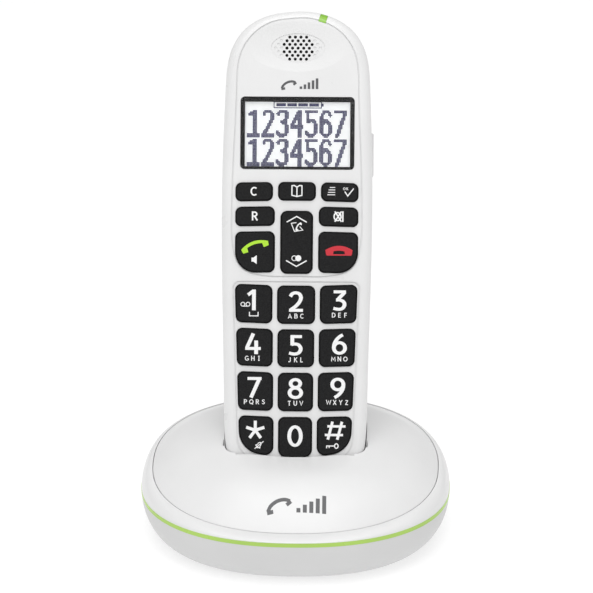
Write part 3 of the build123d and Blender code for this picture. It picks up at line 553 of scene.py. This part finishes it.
def cell_sleeve(name):
    """Printed sleeve of a rechargeable cell, banded round the middle."""
    material, nodes, link, shader = new_material(name)
    place = nodes.new("ShaderNodeTexCoord").outputs["Object"]
    bands = nodes.new("ShaderNodeTexWave")
    bands.bands_direction = "Z"
    bands.inputs["Scale"].default_value = 8.0
    link(place, bands.inputs["Vector"])
    link(tint(nodes, link, bands.outputs["Fac"], (0.05, 0.22, 0.11), (0.62, 0.66, 0.64), 0.78, 0.8),
         shader.inputs["Base Color"])
    scuff = noise(nodes, link, 700.0, detail=4.0)
    link(spread(nodes, link, scuff, 0.22, 0.36), shader.inputs["Roughness"])
    link(bump(nodes, link, scuff, 0.00002), shader.inputs["Normal"])
    return material


WHITE_PRINT = ink("white_print", (0.86, 0.86, 0.86))
GREEN_PRINT = ink("green_print", (0.42, 0.74, 0.03))
RED_PRINT = ink("red_print", (0.58, 0.02, 0.035))
GREY_PRINT = ink("grey_print", (0.09, 0.09, 0.095))
DISPLAY_INK = ink("display_ink", (0.09, 0.09, 0.19), rough=0.3)

FINISHES = {
    "white_gloss": moulded("gloss_white", (0.74, 0.74, 0.74), (0.26, 0.34), 1400.0, 0.000004,
                           ripple=0.000003, coat=0.2),
    "white_housing": moulded("housing_white", (0.74, 0.74, 0.74), (0.28, 0.36), 1800.0, 0.000006,
                             ripple=0.000003, coat=0.15),
    "green_trim": moulded("lime_trim", (0.40, 0.62, 0.11), (0.18, 0.28), 1600.0, 0.000008,
                          shade=0.93),
    "green_indicator": translucent("green_light_pipe"),
    "foot_rubber": rubber("foot_rubber_matt", (0.028, 0.028, 0.028), (0.05, 0.05, 0.05), (0.7, 0.85)),
    "screw_steel": plated("zinc_screw", (0.42, 0.42, 0.43), (0.62, 0.62, 0.63), (0.25, 0.42), 0.00001),
    "black_plastic": moulded("black_moulding", (0.016, 0.016, 0.017), (0.3, 0.45), 2200.0, 0.00002,
                             shade=0.7),
    "grey_plastic": moulded("grey_moulding", (0.34, 0.34, 0.35), (0.35, 0.48), 2400.0, 0.00002,
                            shade=0.92),
    "contact_metal": plated("nickel_contact", (0.55, 0.53, 0.48), (0.78, 0.76, 0.7), (0.18, 0.32),
                            0.000006),
    "circuit_board": board("solder_mask"),
    "clear_window": clear_acrylic("clear_acrylic_window"),
    "display_glass": display_glass("display_face"),
    "keypad_rubber": rubber("keypad_silicone", (0.17, 0.17, 0.17), (0.24, 0.24, 0.24), (0.5, 0.65)),
    "cell_wrap": cell_sleeve("cell_sleeve_print"),
    "key_plastic": soft_touch("soft_touch_black"),
}


# Greyer copy of the white plastic for the base's lower shell: painted shade for its darker underside.
TRAY_PAINTED_SHADE = moulded("tray_white_painted_shade", (0.63, 0.63, 0.63), (0.4, 0.5), 1800.0, 0.00001)


def finish_cad_nodes():
    """Gives every CAD node the material of its record slot, and the base's tray a greyer copy of the white
    plastic as painted shade on its down-facing sides.
    """
    for subpart in frame["record"]["subparts"]:
        node = frame["nodes"][subpart["node"]]
        material = FINISHES[subpart["material_slot"]]
        if subpart["node"] == "base_lower_shell":
            material = TRAY_PAINTED_SHADE
        for slot in node.material_slots:
            slot.material = material


# ---------------------------------------------------------------- key legends

def key_print(node):
    """(Print on a key's face, with 0 at its centre, and half the key's height in mm)."""
    x, front, bottom, top = front_face(node)
    return Print(on_plane(x, front, (bottom + top) / 2)), (top - bottom) / 2


def digit_legend(node, digit, shift, letters="", drop=1.7, height=7.25):
    """Big digit, drop mm below the key's top edge, with small letters under it."""
    marks, half = key_print(node)
    foot = half - drop - height
    marks.glyph(DIGITS[digit], shift, foot)
    marks.word(letters, shift, foot - 0.6 - 10 * LETTER_SIZE)
    return marks, foot


def digit_legends():
    """Digits 2 to 9 with their letters, and 0."""
    rows = {
        "key_2": ("2", 0.0, "ABC"), "key_3": ("3", 0.4, "DEF"), "key_4": ("4", -0.45, "GHI"),
        "key_5": ("5", 0.0, "JKL"), "key_6": ("6", 0.8, "MNO"), "key_7": ("7", -0.2, "PQRS"),
        "key_8": ("8", 0.0, "TUV"), "key_9": ("9", 0.7, "WXYZ"),
    }
    for node, (digit, shift, letters) in rows.items():
        marks, _ = digit_legend(node, digit, shift, letters)
        marks.finish("legend_" + node, WHITE_PRINT, node)
    marks, _ = digit_legend("key_0", "0", 0.0, drop=2.6, height=7.6)
    marks.finish("legend_key_0", WHITE_PRINT, "key_0")


def message_legend():
    """Key 1: the digit, a tape symbol for messages beside it and a space bar under it."""
    marks, foot = digit_legend("key_1", "1", -0.6)
    for x in (-3.75, -1.95):
        marks.glyph([ring(x, foot + 2.1, 0.68, 0.68)], 0, 0, pen=(0.14, 0.14))
    marks.glyph([line((-3.75, foot + 1.42), (-1.95, foot + 1.42))], 0, 0, pen=(0.14, 0.14))
    bracket = line((-1.4, foot - 0.55), (-1.4, foot - 1.95), (1.6, foot - 1.95), (1.6, foot - 0.55))
    marks.glyph([bracket], 0, 0, pen=(0.17, 0.17))
    marks.finish("legend_key_1", WHITE_PRINT, "key_1")


def star_legend():
    """Star key: five arms, and a crossed bell for the silent ringer."""
    marks, half = key_print("key_star")
    marks.glyph(DIGITS["*"], -0.2, half - 4.85, pen=(0.53, 0.53))
    pen = (0.15, 0.15)
    bell = [curve((-1.0, -0.7), (-0.55, -0.1), (-0.5, 0.6), (0, 1.05), (0.5, 0.6), (0.55, -0.1),
                  (1.0, -0.7)),
            line((-1.0, -0.72), (1.0, -0.72)), arc(0, -0.8, 0.3, 0.3, 180, 360)]
    marks.glyph(bell, 1.1, -half + 3.4, pen=pen, turn=-35)
    marks.glyph([line((-1.5, -1.3), (1.6, 1.3))], 1.1, -half + 3.4, pen=pen)
    marks.finish("legend_key_star", WHITE_PRINT, "key_star")


def hash_legend():
    """Hash key: the sign, and a small key for the keypad lock."""
    marks, half = key_print("key_hash")
    marks.glyph(DIGITS["#"], 0.3, half - 7.9, pen=(0.48, 0.42))
    x, z = 0.0, -half + 3.3
    pen = (0.19, 0.19)
    marks.glyph([ring(x + 0.75, z, 0.62, 0.8), line((x + 0.1, z), (x - 2.8, z)),
                 line((x - 2.65, z), (x - 2.65, z - 0.8)), line((x - 1.75, z), (x - 1.75, z - 0.7))],
                0, 0, pen=pen)
    marks.finish("legend_key_hash", WHITE_PRINT, "key_hash")


def receiver(span, rise, thick, ear, drop):
    """Outline of a telephone receiver lying on its ears, centred on 0."""
    half = span / 2
    steps = 14

    def arch(x):
        return rise * (1 - (x / half) ** 2)
    outer = [(-half + span * i / steps, arch(-half + span * i / steps)) for i in range(steps + 1)]
    reach = half - ear
    inner = [(reach - 2 * reach * i / steps, arch(reach - 2 * reach * i / steps) - thick)
             for i in range(steps + 1)]
    ear_foot = -thick - drop
    return [*outer, (half - 0.25, ear_foot + 0.1), (reach + 0.1, ear_foot),
            *inner, (-reach - 0.1, ear_foot), (-half + 0.25, ear_foot + 0.1)]


def turned(outline, degrees, x=0.0, z=0.0, size=1.0):
    """Outline turned about 0, scaled and moved."""
    cosine, sine = math.cos(math.radians(degrees)), math.sin(math.radians(degrees))
    return [(x + size * (px * cosine - pz * sine), z + size * (px * sine + pz * cosine))
            for px, pz in outline]


def function_legends():
    """The five small keys under the display."""
    pen = (0.85, 0.78)
    for node, letter in {"key_clear": "C", "key_recall": "R"}.items():
        marks, _ = key_print(node)
        marks.word(letter, -0.1, -1.45, size=0.315, pen=pen)
        marks.finish("legend_" + node, WHITE_PRINT, node)

    marks, _ = key_print("key_phonebook")
    for side in (-1, 1):
        page = [(0, -1.9), (1.75 * side, -1.5), (1.75 * side, 1.85), (0.9 * side, 1.95), (0, 1.35)]
        marks.glyph([(page, True)], 0, 0.1, pen=(0.2, 0.2))
    marks.finish("legend_key_phonebook", WHITE_PRINT, "key_phonebook")

    marks, _ = key_print("key_menu_ok")
    for i, left in enumerate((-3.5, -3.9, -4.1, -4.3)):
        z = 1.65 - 0.85 * i
        marks.glyph([line((left, z), (-1.6, z))], 0, 0, pen=(0.14, 0.14))
    marks.glyph([line((1.75, 0.25), (2.8, -1.3), (4.85, 1.35))], 0, 0, pen=(0.19, 0.19))
    marks.word("OK", 2.1, 0.75, size=0.095, pitch=1.0, pen=(0.9, 0.85))
    marks.finish("legend_key_menu_ok", WHITE_PRINT, "key_menu_ok")

    marks, _ = key_print("key_mute")
    pen = (0.25, 0.22)
    marks.glyph([ring(-0.35, 0.1, 1.2, 1.4), line((-1.3, -1.7), (1.0, 1.9)),
                 line((-1.3, 1.9), (1.0, -1.7)), line((1.5, -1.75), (1.5, 1.95))], 0, 0, pen=pen)
    marks.finish("legend_key_mute", WHITE_PRINT, "key_mute")


def call_legends():
    """Talk key with a lifted green receiver and a speaker; end key with a red one laid down."""
    marks, half = key_print("key_talk")
    lifted = receiver(9.9, 1.45, 1.1, 2.2, 0.5)
    marks.shape(turned(lifted, 19, x=-0.1, z=half - 4.75))
    marks.finish("legend_talk_receiver", GREEN_PRINT, "key_talk")
    marks, half = key_print("key_talk")
    z = half - 9.75
    marks.shape([(-1.15, z - 0.7), (-0.5, z - 0.7), (0.7, z - 1.55), (0.7, z + 1.55),
                 (-0.5, z + 0.7), (-1.15, z + 0.7)])
    marks.finish("legend_talk_speaker", WHITE_PRINT, "key_talk")

    marks, half = key_print("key_end")
    laid = receiver(9.5, 1.5, 1.7, 2.8, 0.0)
    marks.shape([(x + 0.3, z + half - 6.2) for x, z in laid])
    foot = half - 7.85
    marks.shape([(-4.0, foot - 0.27), (4.6, foot - 0.27), (4.7, foot + 0.2), (-4.1, foot + 0.2)])
    marks.finish("legend_end_receiver", RED_PRINT, "key_end")


def navigation_legend():
    """Rocker: up and down arrows, a call list above and two overlapping discs below."""
    marks, half = key_print("key_navigation")
    pen = (0.22, 0.2)
    top = half - 1.75
    marks.glyph([line((-3.5, top - 2.0), (0, top), (3.5, top - 2.0))], 0, 0, pen=pen)
    bottom = -half + 2.4
    marks.glyph([line((-3.6, bottom + 2.05), (0, bottom), (3.6, bottom + 2.05))], 0, 0, pen=pen)
    z = half - 5.4
    sheet = [(-1.9, 1.25), (-0.75, -1.6), (2.15, -1.1), (1.1, 0.1)]
    marks.glyph([(sheet, False)], 0, z, pen=(0.15, 0.15))
    marks.glyph([line((-1.9, 1.25), (-0.1, 1.5))], 0, z, pen=(0.15, 0.15))
    marks.shape(turned(receiver(3.4, 0.5, 0.45, 0.85, 0.35), 58, x=0.5, z=z + 0.2))
    z = -half + 5.25
    marks.glyph([ring(-0.75, z, 0.84, 0.84)], 0, 0, pen=(0.13, 0.13))
    marks.shape(arc_points(0.65, z, 1.05, 1.05, 0, 360)[:-1])
    marks.finish("legend_key_navigation", WHITE_PRINT, "key_navigation")


# ---------------------------------------------------------------- display

def covered(strokes, x, z, half_width):
    """True if a point lies under one of the strokes."""
    for path, closed in strokes:
        ends = path[1:] + path[:1] if closed else path[1:]
        for (ax, az), (bx, bz) in zip(path, ends):
            length = (bx - ax) ** 2 + (bz - az) ** 2
            share = min(1.0, max(0.0, ((x - ax) * (bx - ax) + (z - az) * (bz - az)) / length))
            if math.hypot(x - ax - share * (bx - ax), z - az - share * (bz - az)) < half_width:
                return True
    return False


def box_outline(left, bottom, right, top):
    """Corners of an upright rectangle."""
    return [(left, bottom), (right, bottom), (right, top), (left, top)]


def dot_digit(marks, digit, left, bottom):
    """One display digit as square dots, from its corner in mm."""
    inset = DOT * (1 - DOT_FILL) / 2
    for row in range(19):
        for column in range(9):
            if covered(DISPLAY_DIGITS[digit], column + 0.5, row + 0.5, 1.32):
                x, z = left + column * DOT, bottom + row * DOT
                marks.proud = PRINT_PROUD
                marks.shape(box_outline(x + inset, z + inset, x + DOT - inset, z + DOT - inset))


def display_marks():
    """What the display shows: a battery gauge and two rows of digits."""
    centre_x, _, low, high = front_face("display_window")
    _, front, _, _ = front_face("lcd_panel")
    marks = Print(on_plane(centre_x, front, (low + high) / 2))
    for bottom in DISPLAY_ROWS:
        for i, digit in enumerate("1234567"):
            dot_digit(marks, digit, -17.8 + 10 * DOT * i, bottom)
    frame_path = box_outline(-8.3, 8.95, 8.3, 11.05)
    marks.glyph([(frame_path, True)], 0, 0, pen=(0.17, 0.17))
    for left in (-7.5, -3.65, 0.2, 4.05):
        marks.shape(box_outline(left, 9.45, left + 3.35, 10.55))
    marks.shape(box_outline(8.4, 9.45, 9.05, 10.5))
    marks.finish("display_characters", DISPLAY_INK, "handset")


# ---------------------------------------------------------------- plain symbols in place of a mark

def telephone_symbol(marks, size):
    """A receiver beside five rising bars, in short sections that can follow a curved surface."""
    arch = curve((-4.1, -1.0), (-2.5, 0.25), (0, 0.75), (2.5, 0.25), (4.1, -1.0))
    marks.glyph([arch], -5.4 * size, 0, size, (0.62 * size, 0.62 * size), 24)
    for side in (-1, 1):
        ear = line((3.3 * side, -0.9), (3.45 * side, -1.5), (3.6 * side, -2.1))
        marks.glyph([ear], -5.4 * size, 0, size, (1.05 * size, 0.8 * size), 24)
    for i in range(5):
        x = 1.7 + 2.2 * i
        top = -1.5 + 1.12 * i
        bar = line(*[(x, -2.85 + (top + 2.85) * k / 5) for k in range(6)])
        marks.glyph([bar], 0, 0, size, (0.68 * size, 0.68 * size))


def handset_symbol():
    """Small receiver and signal bars between the earpiece and the display."""
    _, _, _, window_top = front_face("display_window")
    _, panel, _, _ = front_face("handset_front_shell")
    marks = Print(on_plane(0, panel, window_top + 4.6))
    telephone_symbol(marks, 0.64)
    marks.finish("symbol_handset", GREY_PRINT, "handset")


def base_symbol():
    """The same symbol, larger, laid on the slope of the base cover."""
    cover = frame["nodes"]["base_top_cover"]
    surface = BVHTree.FromPolygons([v.co for v in cover.data.vertices],
                                   [p.vertices for p in cover.data.polygons])
    middle_y = -0.0335
    slope = math.radians(30)

    def place(across, up, proud):
        start = Vector((across * MM, middle_y + up * MM * math.cos(slope), cad_high.z))
        hit, normal, _, _ = surface.ray_cast(start, Vector((0, 0, -1)))
        return hit + normal * proud * MM
    marks = Print(place)
    telephone_symbol(marks, 1.0)
    marks.finish("symbol_base", GREY_PRINT, "base")


# ---------------------------------------------------------------- studio

def add_camera():
    """Camera at the height and lens of the product picture."""
    data = bpy.data.cameras.new("camera")
    data.lens = CAMERA_LENS
    data.clip_start = 0.01
    data.clip_end = 50.0
    camera = bpy.data.objects.new("camera", data)
    level = math.cos(CAMERA_ELEVATION)
    back = Vector((math.sin(CAMERA_AZIMUTH) * level, -math.cos(CAMERA_AZIMUTH) * level,
                   math.sin(CAMERA_ELEVATION)))
    camera.location = CAMERA_TARGET + back * CAMERA_DISTANCE
    camera.rotation_euler = (math.pi / 2 - CAMERA_ELEVATION, 0, CAMERA_AZIMUTH)
    bpy.context.scene.collection.objects.link(camera)
    bpy.context.scene.camera = camera


def add_softbox(name, location, size, watts):
    """Large square light aimed at the middle of the object."""
    data = bpy.data.lights.new(name, "AREA")
    data.shape = "SQUARE"
    data.size = size
    data.energy = watts
    light = bpy.data.objects.new(name, data)
    light.location = location
    aim = LIGHT_AIM - Vector(location)
    light.rotation_euler = aim.to_track_quat("-Z", "Y").to_euler()
    bpy.context.scene.collection.objects.link(light)


def add_floor():
    """Plain pale floor, wide enough for every view."""
    mesh = bmesh.new()
    bmesh.ops.create_circle(mesh, cap_ends=True, segments=64, radius=8.0)
    data = bpy.data.meshes.new("floor")
    mesh.to_mesh(data)
    mesh.free()
    material, nodes, link, shader = new_material("floor_paint")
    wide = noise(nodes, link, 2.0)
    link(tint(nodes, link, wide, (0.49, 0.49, 0.49), (0.5, 0.5, 0.5)),
         shader.inputs["Base Color"])
    shader.inputs["Roughness"].default_value = 0.6
    shader.inputs["Specular IOR Level"].default_value = 0.2
    shader.inputs["Emission Color"].default_value = (1, 1, 1, 1)
    shader.inputs["Emission Strength"].default_value = FLOOR_GLOW
    data.materials.append(material)
    floor = bpy.data.objects.new("floor", data)
    bpy.context.scene.collection.objects.link(floor)


def add_studio():
    """White surroundings and soft lights."""
    world = bpy.data.worlds.new("studio")
    world.use_nodes = True
    world.node_tree.nodes["Background"].inputs["Color"].default_value = (1, 1, 1, 1)
    world.node_tree.nodes["Background"].inputs["Strength"].default_value = SURROUNDINGS
    bpy.context.scene.world = world
    bpy.context.scene.view_settings.view_transform = "Standard"
    add_floor()
    add_softbox("overhead_light", (0.1, -0.1, 1.4), 1.2, 5.5)
    add_softbox("front_light", (-0.15, -0.75, 1.35), 1.2, 9.6)


add_camera()
finish_cad_nodes()
digit_legends()
message_legend()
star_legend()
hash_legend()
function_legends()
call_legends()
navigation_legend()
display_marks()
handset_symbol()
base_symbol()
add_studio()
